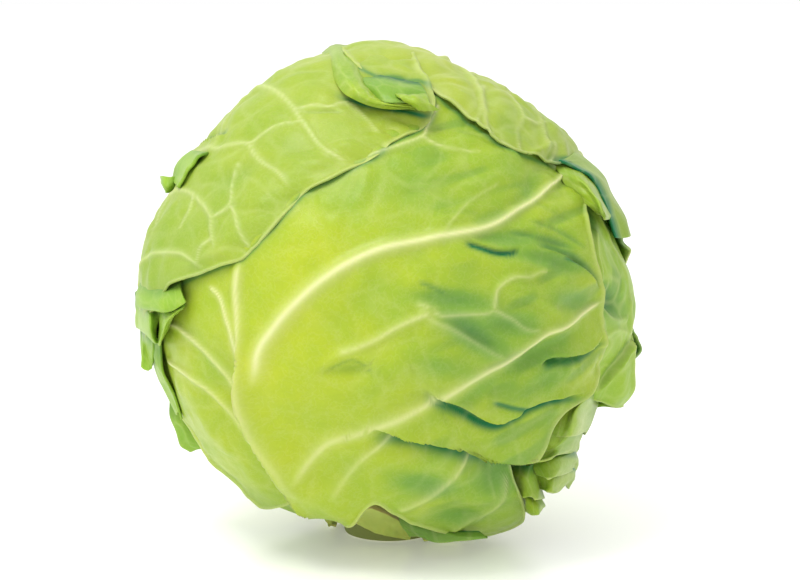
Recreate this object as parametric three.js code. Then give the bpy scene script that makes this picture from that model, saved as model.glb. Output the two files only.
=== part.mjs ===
// A head of white cabbage standing on its cut stem, in millimetres, +Z up.
// The origin is the centre of the stem's cut face, on the surface the head stands on; -Y is the
// front, where the big front leaf shows its rib, and +X is the right of someone who faces the front.
//
// The head is a tight heart on a short stump. Seven loose wrapper leaves are bent round the heart in
// layers, each a thin curved sheet with a thick rib that meets the stump. Round the stump stand the
// stubs of older leaves that were cut away at harvest.
import * as THREE from "three";

// Driving sizes.
const HEAD_CENTRE_Z = 88; // height of the point that every leaf is bent round
const HEART_RADIUS = 76; // the packed heart, without wrapper leaves
const HEART_FLAT_Z = 20; // the heart's flat underside, where the stump joins
const SHOULDER = 0.045; // share by which the head is narrower half way up its upper side
const LEAF_THICKNESS = 1.3;
const RIB_ROOM = 9.5; // a rib at the stump is as thick as its leaf's foot is, less this much
const STUMP_RADIUS = 16.5;
const STUMP_FLARE_RADIUS = 24; // where the ribs of the leaves meet it
const STUMP_FLARE_Z = 7.5; // height where it starts to flare, above the stubs of cut leaves
const JOINT_GAP = 0.4; // clearance between pieces that grow against each other
const FLOOR_CLEAR = 0.4; // the least height of a leaf's underside
const FLOOR_SOFTNESS = 1.5; // how gradually a leaf flattens as it nears the floor
const LOW_LATITUDE = -62; // where a leaf has reached its lift at the foot
const HIGH_LATITUDE = -22; // where it has reached its lift at the side
const TUCK_OUTER = 36; // distance from the axis where a leaf starts to turn up to the stump
const TUCK_INNER = 22; // where it has turned up
const TUCK_RISE = 10; // how far it turns up

// Each leaf is a disc of directions. centre is where its middle lies on the head, as longitude
// (0 at the front, 90 at the right) and latitude. outline gives how far the leaf reaches from there,
// in degrees of arc, at each bearing (0 to the right, 90 up, seen from outside). lift is how far its
// outer face stands off the heart at the side and top, and foot is the same near the floor. rib is
// the bearing of the stump end. swells push the sheet out at [x, y] degrees from the middle.
const LEAVES = [
  {
    name: "front_leaf",
    colour: 0xb9d24a,
    cells: 18,
    centre: [0, 0],
    lift: 6.2,
    foot: 12.8,
    rib: -100,
    outline: [
      [0, 57], [20, 64], [42, 68], [65, 72], [90, 74], [115, 74], [140, 73], [160, 70], [182, 64],
      [200, 66], [214, 72], [228, 64], [238, 56], [247, 62], [256, 73], [263, 74], [268, 60], [273, 53],
      [279, 57], [286, 68], [294, 75], [304, 76], [313, 68], [324, 60], [340, 58],
    ],
    swells: [[40, -62, 20, 6], [52, -36, 16, 5], [-60, -34, 22, 3.2], [62, 27, 10, 2.4]],
  },
  {
    name: "left_crown_leaf",
    colour: 0xa4c64f,
    cells: 18,
    centre: [-105, 15],
    lift: 8.6,
    foot: 13.4,
    rib: -96,
    outline: [
      [0, 53], [8, 64], [18, 71], [30, 78], [40, 87], [50, 93], [60, 93], [74, 86], [90, 80],
      [115, 72], [140, 66], [165, 60], [190, 58], [215, 60], [235, 66], [255, 82], [264, 90],
      [273, 78], [286, 48], [305, 39], [320, 42], [340, 47],
    ],
    swells: [[24, -4, 24, 4.6], [22, 42, 20, 3.6]],
  },
  {
    name: "right_crown_leaf",
    colour: 0x9cc052,
    cells: 18,
    centre: [150, 25],
    lift: 11,
    foot: 13.6,
    rib: -90,
    outline: [
      [0, 62], [20, 64], [45, 64], [66, 62], [78, 70], [86, 82], [95, 92], [103, 94], [114, 90], [125, 89],
      [136, 87], [146, 79], [154, 70], [165, 64], [178, 60], [200, 56], [218, 56], [235, 64],
      [255, 88], [266, 98], [276, 92], [290, 66], [310, 54], [335, 56],
    ],
    swells: [[-50, -14, 20, 1.6], [14, 62, 22, 2.4]],
  },
  {
    name: "right_side_leaf",
    colour: 0x9bc455,
    cells: 14,
    centre: [82, -8],
    lift: 4.2,
    foot: 10,
    rib: -76,
    outline: [
      [0, 13], [30, 17], [60, 32], [90, 42], [120, 42], [150, 44], [180, 42], [200, 32], [222, 24],
      [242, 20], [256, 24], [267, 38], [276, 56], [284, 68], [291, 52], [299, 30], [310, 17], [325, 13],
    ],
    swells: [[9, 2, 18, 7.5], [4, -17, 11, 10]],
  },
  {
    name: "far_right_leaf",
    colour: 0x7fb04c,
    cells: 12,
    centre: [118, -18],
    lift: 2,
    foot: 6,
    rib: -90,
    outline: [
      [0, 34], [40, 42], [90, 40], [120, 28], [150, 21], [180, 22], [200, 20], [225, 20],
      [250, 40], [266, 54], [280, 46], [310, 34], [335, 32],
    ],
    swells: [[-20, 2, 11, 15]],
  },
  {
    name: "low_left_leaf",
    colour: 0x8fb048,
    cells: 12,
    centre: [-68, -28],
    lift: 3.6,
    foot: 8.8,
    rib: -92,
    outline: [
      [0, 36], [30, 40], [60, 42], [90, 44], [120, 42], [150, 38], [180, 34], [205, 32], [230, 34],
      [252, 42], [265, 46], [280, 40], [300, 30], [330, 34],
    ],
    swells: [[-12, -4, 18, 2.6]],
  },
  {
    name: "back_leaf",
    colour: 0x93bd50,
    cells: 12,
    centre: [-158, -16],
    lift: 4.4,
    foot: 10,
    rib: -90,
    outline: [
      [0, 34], [30, 42], [60, 50], [90, 56], [120, 52], [150, 46], [180, 40], [205, 34], [232, 34],
      [255, 48], [268, 56], [280, 48], [300, 30], [330, 28],
    ],
    swells: [],
  },
];

// Stubs of cut leaves, as bent plates round the stump: longitude of the middle, width along the
// stump, how far out from the axis each stands, its height and its lean outward at the top.
const STUBS = [
  { name: "cut_leaf_stub_front_left", longitude: 11, width: 13.5, out: 20.5, height: 13, lean: 13 },
  { name: "cut_leaf_stub_front_right", longitude: 66, width: 25, out: 21.5, height: 5.5, lean: 5 },
  { name: "cut_leaf_stub_back", longitude: 165, width: 26, out: 20.5, height: 6, lean: 4 },
  { name: "cut_leaf_stub_left", longitude: -105, width: 22, out: 20.5, height: 6, lean: 4 },
];
const STUB_THICKNESS = 2.6;
const STUB_CELLS = 10;
const STUMP_COLOUR = 0xd9dcae;
const STUB_COLOUR = 0xbcc878;
const HEART_COLOUR = 0xc8dc6c;

const radians = THREE.MathUtils.degToRad;

// Unit vector at a longitude and latitude on the head.
function directionAt(longitude, latitude) {
  const a = radians(longitude);
  const b = radians(latitude);
  return new THREE.Vector3(Math.sin(a) * Math.cos(b), -Math.cos(a) * Math.cos(b), Math.sin(b));
}

// Radius of the heart along a direction: round below, a little narrow at the shoulders.
function heartRadius(direction) {
  if (direction.z <= 0) return HEART_RADIUS;
  const twice = Math.sin(2 * Math.acos(direction.z));
  return HEART_RADIUS * (1 - SHOULDER * twice * twice);
}

// A periodic smooth curve through [bearing, reach] pairs.
function reachAt(outline, bearing) {
  const turn = ((bearing % 360) + 360) % 360;
  const count = outline.length;
  let i = outline.findIndex(([angle]) => angle > turn) - 1;
  if (i < 0) i = turn < outline[0][0] ? -1 : count - 1;
  const at = (k) => {
    const wrapped = ((k % count) + count) % count;
    return [outline[wrapped][0] + 360 * Math.floor(k / count), outline[wrapped][1]];
  };
  const [[, before], [from, start], [to, end], [, after]] = [at(i - 1), at(i), at(i + 1), at(i + 2)];
  const t = (turn - from) / (to - from);
  const slopeStart = (end - before) / 2;
  const slopeEnd = (after - start) / 2;
  return (
    start * (2 * t ** 3 - 3 * t ** 2 + 1) +
    slopeStart * (t ** 3 - 2 * t ** 2 + t) +
    end * (-2 * t ** 3 + 3 * t ** 2) +
    slopeEnd * (t ** 3 - t ** 2)
  );
}

// Raises a height that would sink into the floor, leaving one well above it as it is.
function onFloor(z, least) {
  return least + FLOOR_SOFTNESS * Math.log1p(Math.exp((z - least) / FLOOR_SOFTNESS));
}

// A leaf: a flat box of cells, its square turned into a disc, the disc bent round the head.
function leafGeometry(leaf) {
  const { centre, outline, cells, lift, foot, rib, swells } = leaf;
  const middle = directionAt(...centre);
  const right = directionAt(centre[0] + 90, 0);
  const up = new THREE.Vector3().crossVectors(middle, right).negate();
  if (up.z < 0) up.negate();
  const geometry = new THREE.BoxGeometry(2, 2, 1, cells, cells, 1);
  const position = geometry.getAttribute("position");
  const ribDirection = new THREE.Vector2(Math.cos(radians(rib)), Math.sin(radians(rib)));
  for (let i = 0; i < position.count; i++) {
    const u = position.getX(i);
    const v = position.getY(i);
    const x = u * Math.sqrt(1 - (v * v) / 2);
    const y = v * Math.sqrt(1 - (u * u) / 2);
    const bearing = Math.atan2(y, x);
    const reach = Math.hypot(x, y) * reachAt(outline, THREE.MathUtils.radToDeg(bearing));
    const across = reach * Math.cos(bearing);
    const along = reach * Math.sin(bearing);
    const direction = middle
      .clone()
      .multiplyScalar(Math.cos(radians(reach)))
      .addScaledVector(right, Math.sin(radians(reach)) * Math.cos(bearing))
      .addScaledVector(up, Math.sin(radians(reach)) * Math.sin(bearing));
    const latitude = THREE.MathUtils.radToDeg(Math.asin(direction.z));
    let stand = THREE.MathUtils.lerp(
      foot,
      lift,
      THREE.MathUtils.smoothstep(latitude, LOW_LATITUDE, HIGH_LATITUDE),
    );
    for (const [sx, sy, size, height] of swells)
      stand += height * Math.exp(-((across - sx) ** 2 + (along - sy) ** 2) / size ** 2);
    const toRib = across * ribDirection.y - along * ribDirection.x;
    const downRib = across * ribDirection.x + along * ribDirection.y;
    const ribShare =
      Math.exp(-((toRib / 7) ** 2)) * THREE.MathUtils.smoothstep(downRib, 10, reachAt(outline, rib));
    const inner = position.getZ(i) < 0;
    const thick = LEAF_THICKNESS + ribShare * Math.max(foot - RIB_ROOM, 0);
    const radius = heartRadius(direction) + stand - (inner ? thick : 0);
    const point = direction.multiplyScalar(radius);
    const fromAxis = Math.hypot(point.x, point.y);
    if (point.z < 0)
      point.z += TUCK_RISE * (1 - THREE.MathUtils.smoothstep(fromAxis, TUCK_INNER, TUCK_OUTER));
    point.z = onFloor(HEAD_CENTRE_Z + point.z, FLOOR_CLEAR + (inner ? thick : 0));
    position.setXYZ(i, point.x, point.y, point.z);
  }
  return geometry;
}

// The heart: a ball with the head's profile and a flat underside.
function heartGeometry() {
  const geometry = new THREE.SphereGeometry(1, 36, 24).rotateX(Math.PI / 2);
  const position = geometry.getAttribute("position");
  for (let i = 0; i < position.count; i++) {
    const direction = new THREE.Vector3().fromBufferAttribute(position, i).normalize();
    const point = direction.clone().multiplyScalar(heartRadius(direction));
    point.z = Math.max(point.z + HEAD_CENTRE_Z, HEART_FLAT_Z);
    position.setXYZ(i, point.x, point.y, point.z);
  }
  return geometry;
}

// The stump: a round of stem, flat where it was cut, flaring up to the heart.
function stumpGeometry() {
  const top = HEART_FLAT_Z - JOINT_GAP;
  const profile = new THREE.Path();
  profile.moveTo(0, 0);
  profile.lineTo(STUMP_RADIUS - 0.8, 0);
  profile.lineTo(STUMP_RADIUS, 0.8);
  profile.lineTo(STUMP_RADIUS + 0.5, STUMP_FLARE_Z);
  profile.quadraticCurveTo(STUMP_FLARE_RADIUS - 2, STUMP_FLARE_Z + 1, STUMP_FLARE_RADIUS, top);
  profile.lineTo(0, top);
  const points = profile.getPoints(4);
  return new THREE.LatheGeometry(points, 28).rotateX(Math.PI / 2);
}

// A stub: a plate bent round the stump that leans outward, with a ragged upper edge.
function stubGeometry({ longitude, width, out, height, lean }) {
  const geometry = new THREE.BoxGeometry(1, STUB_THICKNESS, 1, STUB_CELLS, 1, 3);
  const position = geometry.getAttribute("position");
  for (let i = 0; i < position.count; i++) {
    const side = position.getX(i);
    const rise = position.getZ(i) + 0.5;
    const around = radians(longitude) + (side * width) / out;
    const ragged = 1 - 0.28 * side * side * 4 + 0.1 * Math.sin(side * 17);
    const radius = out - position.getY(i) + lean * rise * rise;
    position.setXYZ(
      i,
      radius * Math.sin(around),
      -radius * Math.cos(around),
      0.05 + rise * height * ragged,
    );
  }
  return geometry;
}

function piece(name, geometry, colour, roughness) {
  const material = new THREE.MeshStandardMaterial({ color: colour, roughness, metalness: 0 });
  const mesh = new THREE.Mesh(geometry, material);
  mesh.name = name;
  return mesh;
}

const cabbage = new THREE.Group();
cabbage.name = "cabbage_head";
cabbage.add(piece("cut_stem", stumpGeometry(), STUMP_COLOUR, 0.7));
cabbage.add(piece("heart", heartGeometry(), HEART_COLOUR, 0.45));
for (const leaf of LEAVES) cabbage.add(piece(leaf.name, leafGeometry(leaf), leaf.colour, 0.4));
for (const stub of STUBS) cabbage.add(piece(stub.name, stubGeometry(stub), STUB_COLOUR, 0.6));

export default cabbage;
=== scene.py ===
"""A head of white cabbage on its cut stem: the looks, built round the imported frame, in metres.

Each wrapper leaf is a sheet of cells. It is shaped flat, in the leaf's own plane, where a place is
[x, y] in degrees from the leaf's middle (x to the right and y up, seen from outside) and a height is
in millimetres off the leaf. Then it is bent round the head and given its thickness.
"""
import math

import bmesh
import bpy
import numpy as np
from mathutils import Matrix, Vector, kdtree


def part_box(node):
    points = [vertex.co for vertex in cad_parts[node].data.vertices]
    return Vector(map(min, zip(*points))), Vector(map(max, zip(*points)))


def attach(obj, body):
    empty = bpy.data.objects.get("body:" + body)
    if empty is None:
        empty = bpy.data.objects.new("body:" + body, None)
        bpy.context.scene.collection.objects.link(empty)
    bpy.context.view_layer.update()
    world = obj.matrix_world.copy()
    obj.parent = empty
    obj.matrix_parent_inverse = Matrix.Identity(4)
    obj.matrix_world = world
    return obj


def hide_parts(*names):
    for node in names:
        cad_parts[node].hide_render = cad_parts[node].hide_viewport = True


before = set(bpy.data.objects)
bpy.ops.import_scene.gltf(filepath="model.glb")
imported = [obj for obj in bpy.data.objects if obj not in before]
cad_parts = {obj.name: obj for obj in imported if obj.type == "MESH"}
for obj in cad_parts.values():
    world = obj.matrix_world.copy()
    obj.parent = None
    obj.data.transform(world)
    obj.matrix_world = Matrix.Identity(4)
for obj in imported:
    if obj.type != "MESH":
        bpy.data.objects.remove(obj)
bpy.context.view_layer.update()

MM = 0.001

# The head, in millimetres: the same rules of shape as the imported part.
HEART_LOW, HEART_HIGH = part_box("heart")
HEART_RADIUS = (HEART_HIGH.x - HEART_LOW.x) / 2 / MM
HEAD_CENTRE_Z = HEART_HIGH.z / MM - HEART_RADIUS
HEART_FLAT_Z = HEART_LOW.z / MM
SHOULDER = 0.045  # share by which the head is narrower half way up its upper side
LOW_LATITUDE = -62  # up to here a leaf stands off the heart as at its foot
HIGH_LATITUDE = -22  # and from here up as over the rest of the head
TUCK_OUTER = 36  # inside this distance from the axis the leaves rise to the stem
TUCK_INNER = 22  # and inside this one by the whole of TUCK_RISE
TUCK_RISE = 10
FLOOR_CLEAR = 0.5  # the least gap between a leaf and the floor
FLOOR_SOFTNESS = 1.5  # how gently a leaf levels out over the floor
ARC = math.radians(1) * 88  # millimetres to a degree on the outside of the head
LEAF_THICKNESS = 0.9
FOLD_TURN = 0.9  # millimetres to either side of its line over which a fold turns down
TAIL_TAPER = 0.35  # how wide a frill is where it dives under, as a share of its width
TAIL_LIFT = 1.5  # millimetres from the heart to a frill's end


# ---------------------------------------------------------------------------------------------
# Curves, noise and nets
# ---------------------------------------------------------------------------------------------

def smoothstep(low, high, value):
    t = np.clip((value - low) / (high - low), 0, 1)
    return t * t * (3 - 2 * t)


def bell(distance, width):
    return np.exp(-(distance / width) ** 2)


def curve_through(points, steps=7):
    """An open smooth curve through points of any dimension."""
    p = np.array(points, float)
    p = np.vstack([2 * p[0] - p[1], p, 2 * p[-1] - p[-2]])
    t = np.linspace(0, 1, steps, endpoint=False)[:, None]
    parts = []
    for a, b, c, d in zip(p, p[1:], p[2:], p[3:]):
        parts.append(0.5 * (2 * b + (c - a) * t + (2 * a - 5 * b + 4 * c - d) * t ** 2
                            + (3 * b - a - 3 * c + d) * t ** 3))
    return np.vstack(parts + [p[-2:-1]])


def round_curve(pairs, angle):
    """A periodic smooth curve through [degrees, value] pairs, read at angle."""
    at = np.array([pair[0] for pair in pairs], float)
    value = np.array([pair[1] for pair in pairs], float)
    count = len(pairs)
    turn = np.mod(angle, 360)
    i = np.searchsorted(at, turn, side="right") - 1
    ends = [((i + k) % count, np.floor_divide(i + k, count)) for k in (-1, 0, 1, 2)]
    before, start, stop, after = [value[index] for index, _ in ends]
    low = at[ends[1][0]] + 360 * ends[1][1]
    high = at[ends[2][0]] + 360 * ends[2][1]
    t = (turn - low) / (high - low)
    return (start * (2 * t ** 3 - 3 * t ** 2 + 1) + (stop - before) / 2 * (t ** 3 - 2 * t ** 2 + t)
            + stop * (3 * t ** 2 - 2 * t ** 3) + (after - start) / 2 * (t ** 3 - t ** 2))


def noise(x, y, size, seed):
    """Smooth noise from -1 to 1, with a bump or a hollow about every size."""
    table = np.random.default_rng(seed).uniform(-1, 1, (64, 64))
    u, v = (x * 0.8 + y * 0.6) / size, (y * 0.8 - x * 0.6) / size
    i, j = np.floor(u).astype(int), np.floor(v).astype(int)
    s, t = u - i, v - j
    s = s ** 3 * (s * (6 * s - 15) + 10)
    t = t ** 3 * (t * (6 * t - 15) + 10)
    a, b = table[i % 64, j % 64], table[(i + 1) % 64, j % 64]
    c, d = table[i % 64, (j + 1) % 64], table[(i + 1) % 64, (j + 1) % 64]
    return (a * (1 - s) + b * s) * (1 - t) + (c * (1 - s) + d * s) * t


def net_distance(x, y, size, seed):
    """Distance from the lines of an irregular net whose meshes are about size across."""
    jitter = np.random.default_rng(seed).uniform(0.08, 0.92, (64, 64, 2))
    u, v = x / size, y / size
    i, j = np.floor(u).astype(int), np.floor(v).astype(int)
    first = np.full(x.shape, 9.0)
    second = np.full(x.shape, 9.0)
    for di in (-1, 0, 1):
        for dj in (-1, 0, 1):
            seat = jitter[(i + di) % 64, (j + dj) % 64]
            gap = np.hypot(i + di + seat[..., 0] - u, j + dj + seat[..., 1] - v)
            second = np.minimum(second, np.maximum(first, gap))
            first = np.minimum(first, gap)
    return (second - first) / 2 * size


# ---------------------------------------------------------------------------------------------
# A leaf as a sheet
# ---------------------------------------------------------------------------------------------

def direction_at(longitude, latitude):
    """Unit vectors at longitudes (0 at the front, 90 at the right) and latitudes, in degrees."""
    a, b = np.radians(longitude), np.radians(latitude)
    return np.stack([np.sin(a) * np.cos(b), -np.cos(a) * np.cos(b), np.sin(b)], -1)


def heart_radius(z):
    """The head's radius without wrapper leaves, where its direction has that z."""
    twice = np.sin(2 * np.arccos(np.clip(z, -1, 1)))
    return HEART_RADIUS * (1 - SHOULDER * twice ** 2 * (z > 0))


def on_floor(z, least):
    """Raises a height that would sink into the floor, leaving one well above it as it is."""
    return least + FLOOR_SOFTNESS * np.logaddexp(0, (z - least) / FLOOR_SOFTNESS)


def outward(points):
    """Unit vectors from the head's centre to points in millimetres."""
    away = points - [0, 0, HEAD_CENTRE_Z]
    return away / np.linalg.norm(away, axis=1)[:, None]


def mesh_of(bm, name):
    """A mesh from a bmesh, and its vertices' places."""
    mesh = bpy.data.meshes.new(name)
    bm.to_mesh(mesh)
    bm.free()
    places = np.zeros(len(mesh.vertices) * 3)
    mesh.vertices.foreach_get("co", places)
    return mesh, places.reshape(-1, 3)


def grid_mesh(name, across, along, half=1):
    """A flat square of cells reaching half to each side, and its vertices' places."""
    bm = bmesh.new()
    bmesh.ops.create_grid(bm, x_segments=across, y_segments=along, size=half)
    return mesh_of(bm, name)


def move_vertices(mesh, points):
    """Puts a mesh's vertices at points in millimetres."""
    mesh.vertices.foreach_set("co", (points * MM).ravel())
    mesh.update()


class Sheet:
    """A leaf's cells, flat. What shapes it adds to out, along and across, in millimetres.

    centre is the longitude and latitude of its middle, lift and foot how far it stands off the heart
    over most of the head and at the stem, outline its reach in degrees at each bearing, and each swell
    an [x, y, size, height].
    """

    def __init__(self, name, centre, lift, foot, outline, swells=(), cells=150):
        self.name, self.centre, self.lift, self.foot, self.swells = name, centre, lift, foot, swells
        self.mesh, places = grid_mesh(name, cells, cells)
        u, v, _ = places.T
        disc_x, disc_y = u * np.sqrt(1 - v * v / 2), v * np.sqrt(1 - u * u / 2)
        self.share = np.hypot(disc_x, disc_y)  # 0 in the middle, 1 at the margin
        self.bearing = np.degrees(np.arctan2(disc_y, disc_x))
        self.reach = round_curve(outline, self.bearing)
        self.x = self.share * self.reach * np.cos(np.radians(self.bearing))
        self.y = self.share * self.reach * np.sin(np.radians(self.bearing))
        nothing = np.zeros_like(u)
        self.out, self.along, self.across = nothing.copy(), nothing.copy(), nothing.copy()
        # vein and green are the blade's own colour; the last of these three is painted shade, 0 to 1.
        self.vein, self.green, self.deep = nothing.copy(), nothing.copy(), nothing.copy()
        self.ground = nothing + FLOOR_CLEAR + LEAF_THICKNESS  # the least height over the floor

    def near(self, points, reach):
        """The cells within reach mm of a curve: which, how far, on which side and where along it."""
        line = curve_through(points)
        low, high = line.min(0) - reach / ARC, line.max(0) + reach / ARC
        inside = (self.x > low[0]) & (self.x < high[0]) & (self.y > low[1]) & (self.y < high[1])
        pick = np.flatnonzero(inside)
        place = np.stack([self.x[pick], self.y[pick]], -1)[:, None, :]
        start, step = line[:-1], np.diff(line, axis=0)
        length = np.hypot(*step.T)
        t = np.clip(((place - start) * step).sum(-1) / (length ** 2 + 1e-9), 0, 1)
        gap = place - start - t[..., None] * step
        distance = np.hypot(gap[..., 0], gap[..., 1])
        best = distance.argmin(1)
        row = np.arange(len(pick))
        side = np.sign(step[best, 0] * gap[row, best, 1] - step[best, 1] * gap[row, best, 0])
        run = np.concatenate([[0], np.cumsum(length)])
        along = (run[best] + t[row, best] * length[best]) / run[-1]
        heading = step[best] / (length[best, None] + 1e-9)
        return pick, distance[row, best] * ARC, side, along, heading

    def place(self):
        """The cells' places on the head, in millimetres from the middle of the floor face."""
        middle = direction_at(*self.centre)
        right = direction_at(self.centre[0] + 90, 0)
        up = direction_at(self.centre[0], self.centre[1] + 90)
        x, y = self.x + self.along / ARC, self.y + self.across / ARC
        arc = np.hypot(x, y) + 1e-9
        bend = np.radians(arc)[:, None]
        heading = (x / arc)[:, None] * right + (y / arc)[:, None] * up
        direction = middle * np.cos(bend) + heading * np.sin(bend)
        latitude = np.degrees(np.arcsin(np.clip(direction[:, 2], -1, 1)))
        raised = smoothstep(LOW_LATITUDE, HIGH_LATITUDE, latitude)
        stand = self.foot + (self.lift - self.foot) * raised
        for swell_x, swell_y, size, height in self.swells:
            stand = stand + height * bell(np.hypot(self.x - swell_x, self.y - swell_y), size)
        radius = heart_radius(direction[:, 2]) + stand + self.out
        point = direction * radius[:, None]
        from_axis = np.hypot(point[:, 0], point[:, 1])
        tuck = TUCK_RISE * (1 - smoothstep(TUCK_INNER, TUCK_OUTER, from_axis))
        point[:, 2] += np.where(point[:, 2] < 0, tuck, 0)
        point[:, 2] = on_floor(HEAD_CENTRE_Z + point[:, 2], self.ground)
        return point


# ---------------------------------------------------------------------------------------------
# What shapes a sheet
# ---------------------------------------------------------------------------------------------

def vein(sheet, points, widths, height, pale, furrow=0.0):
    """A raised vein, widths mm wide and pale so much at its start and end, in a furrow of the blade."""
    pick, distance, _, along, _ = sheet.near(points, 5 * max(widths) + 4)
    width = widths[0] + (widths[1] - widths[0]) * along
    fade = smoothstep(-0.02, 0.07, along) * (1 - smoothstep(0.94, 1, along))
    rise = height * (width / widths[0]) ** 0.7
    sheet.out[pick] += fade * (rise * bell(distance, width) - furrow * bell(distance, 3 * width + 2))
    strength = pale[0] + (pale[1] - pale[0]) * along
    light = fade * strength * (0.4 * bell(distance, 1.2 * width) + 0.6 * bell(distance, 0.4 * width))
    sheet.vein[pick] = np.maximum(sheet.vein[pick], light)


def fold(sheet, points, lip, drop, reach, pull, shade):
    """The blade left of a line stands proud and hangs over the blade right of it, which lies lower, with
    painted shade on it below the lip.
    """
    pick, distance, side, along, heading = sheet.near(points, reach * 3)
    signed = distance * side
    ends = smoothstep(0, 0.2, along) * (1 - smoothstep(0.8, 1, along))
    upper = smoothstep(-FOLD_TURN, FOLD_TURN, signed)
    proud = upper * np.exp(-np.maximum(signed, 0) / reach)
    sunk = (1 - upper) * bell(np.maximum(-signed, 0), reach)
    sheet.out[pick] += ends * (lip * proud - drop * sunk)
    slide = ends * pull * (sunk - proud)
    sheet.along[pick] += slide * -heading[:, 1]
    sheet.across[pick] += slide * heading[:, 0]
    # Painted shade: darkest just beyond the lip, fainter over the whole sunk side.
    hidden = 0.45 * (lip + drop) + 0.3
    dark = 0.95 * bell(signed + hidden, 0.35 * hidden + 0.6)
    dark += 0.3 * (1 - upper) * bell(signed, 0.8 * reach)
    sheet.deep[pick] = np.maximum(sheet.deep[pick], ends * shade * dark)


def groove(sheet, points, depth, width, shade):
    """A pinched crease with soft shoulders, painted with shade along its floor."""
    pick, distance, _, along, _ = sheet.near(points, width * 4)
    ends = smoothstep(0, 0.25, along) * (1 - smoothstep(0.75, 1, along))
    sheet.out[pick] += ends * depth * (0.45 * bell(distance, width * 2.4) - bell(distance, width))
    sheet.deep[pick] = np.maximum(sheet.deep[pick], ends * shade * bell(distance, width * 0.8))


def ridge(sheet, points, height, width):
    """A soft ridge, or with a negative height a soft trough."""
    pick, distance, _, along, _ = sheet.near(points, width * 3)
    ends = smoothstep(0, 0.3, along) * (1 - smoothstep(0.7, 1, along))
    sheet.out[pick] += ends * height * bell(distance, width)


def dent(sheet, x, y, long, short, turn, height, green=0.0):
    """A hollow (or a bulge, with a positive height) longer one way, turned anticlockwise; green shifts it
    toward the grown colour and lays painted shade in it.
    """
    c, s = math.cos(math.radians(turn)), math.sin(math.radians(turn))
    dx, dy = sheet.x - x, sheet.y - y
    weight = bell(np.hypot((dx * c + dy * s) / long, (dy * c - dx * s) / short), 1)
    sheet.out += height * weight
    sheet.green += green * weight
    # Painted shade in the hollow, a share of the shift in tone above.
    sheet.deep = np.maximum(sheet.deep, 0.3 * green * weight)


def wrinkle(sheet, turn, long, short, height, seed, weight):
    """Crinkles of the blade that run turn degrees anticlockwise, long and short degrees across, with
    painted shade in their troughs.
    """
    c, s = math.cos(math.radians(turn)), math.sin(math.radians(turn))
    along, across = (sheet.x * c + sheet.y * s) / long, (sheet.y * c - sheet.x * s) / short
    ripple = noise(along * 0.8 - across * 0.6, along * 0.6 + across * 0.8, 1, seed)
    sheet.out += weight * height * ripple
    sheet.deep = np.maximum(sheet.deep, 0.28 * weight * smoothstep(0.15, 0.75, -ripple))


def span_of(sheet, start, stop):
    """Runs from 0 to 1 between two bearings, with a weight that is 1 between them and 0 outside."""
    span = np.mod(sheet.bearing - start, 360) / np.mod(stop - start, 360)
    return span, smoothstep(0, 0.12, span) * (1 - smoothstep(0.88, 1, span)) * (span < 1)


def ruffle(sheet, start, stop, waves, rise, depth, seed, bias, pinch=0.35):
    """Waves in the margin between two bearings, dying out inwards over depth of the reach."""
    span, inside = span_of(sheet, start, stop)
    near_margin = smoothstep(1 - depth, 1, sheet.share) ** 1.5
    phase = span * waves + 0.3 * noise(span * waves, span * 0, 1.0, seed)
    swing = np.sin(2 * np.pi * phase)
    size = rise * (1 + 0.6 * noise(span * waves, span * 0 + 5, 1.3, seed + 1))
    sheet.out += inside * near_margin * size * (swing + bias)
    slide = inside * near_margin * size * pinch * np.sin(4 * np.pi * phase + 0.6)
    sheet.along -= slide * np.sin(np.radians(sheet.bearing))
    sheet.across += slide * np.cos(np.radians(sheet.bearing))


def press(sheet, start, stop, depth, inner):
    """Lays the margin between two bearings down on the leaf beneath, from the share inner on."""
    _, inside = span_of(sheet, start, stop)
    sheet.out -= depth * inside * smoothstep(inner, 1, sheet.share)


def net(sheet, size, rise, puff, seed, pale):
    """The net of small veins, with the blade a little puffed between them."""
    x, y = sheet.x * ARC, sheet.y * ARC
    wander_x = x + 0.35 * size * noise(x, y, size * 0.9, seed + 1)
    wander_y = y + 0.35 * size * noise(x, y, size * 0.9, seed + 2)
    distance = net_distance(wander_x, wander_y, size, seed)
    patchy = 0.5 + 0.5 * noise(x, y, size * 2.5, seed + 3)
    sheet.out += patchy * rise * bell(distance, 0.1 * size)
    sheet.out += puff * (smoothstep(0, 0.4 * size, distance) - 0.5)
    sheet.vein = np.maximum(sheet.vein, pale * patchy * bell(distance, 0.07 * size))


def rumple(sheet, size, height, seed):
    """Uneven swelling of the whole blade, over three sizes."""
    x, y = sheet.x * ARC, sheet.y * ARC
    for share, weight in ((1, 1.0), (0.45, 0.5), (0.2, 0.16)):
        sheet.out += height * weight * noise(x, y, size * share, seed)


def shade_beside(sheet, covers):
    """Darkens a leaf along the margins of the leaves that lie on it."""
    margins = outward(np.concatenate([cover.points[cover.share > 0.999] for cover in covers]))
    tree = kdtree.KDTree(len(margins))
    for index, place in enumerate(margins):
        tree.insert(place, index)
    tree.balance()
    # Millimetres, on a blade a tenth further out than the heart.
    gap = np.array([tree.find(place)[2] for place in outward(sheet.points)]) * HEART_RADIUS * 1.1
    sheet.deep = np.maximum(sheet.deep, 0.55 * bell(gap, 1.1) + 0.16 * bell(gap, 4.0))


def margin_lip(sheet, height):
    """The last millimetres of the blade turn outwards a little."""
    sheet.out += height * smoothstep(0.98, 1, sheet.share)


# ---------------------------------------------------------------------------------------------
# Meshes
# ---------------------------------------------------------------------------------------------

def add_attributes(mesh, **values):
    """Point attributes from 0 to 1, which the materials read: one value, or one to a vertex."""
    for name, value in values.items():
        attribute = mesh.attributes.new(name, "FLOAT", "POINT")
        each = np.full(len(mesh.vertices), value)
        attribute.data.foreach_set("value", np.clip(each, 0, 1).astype(np.float32))


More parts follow.
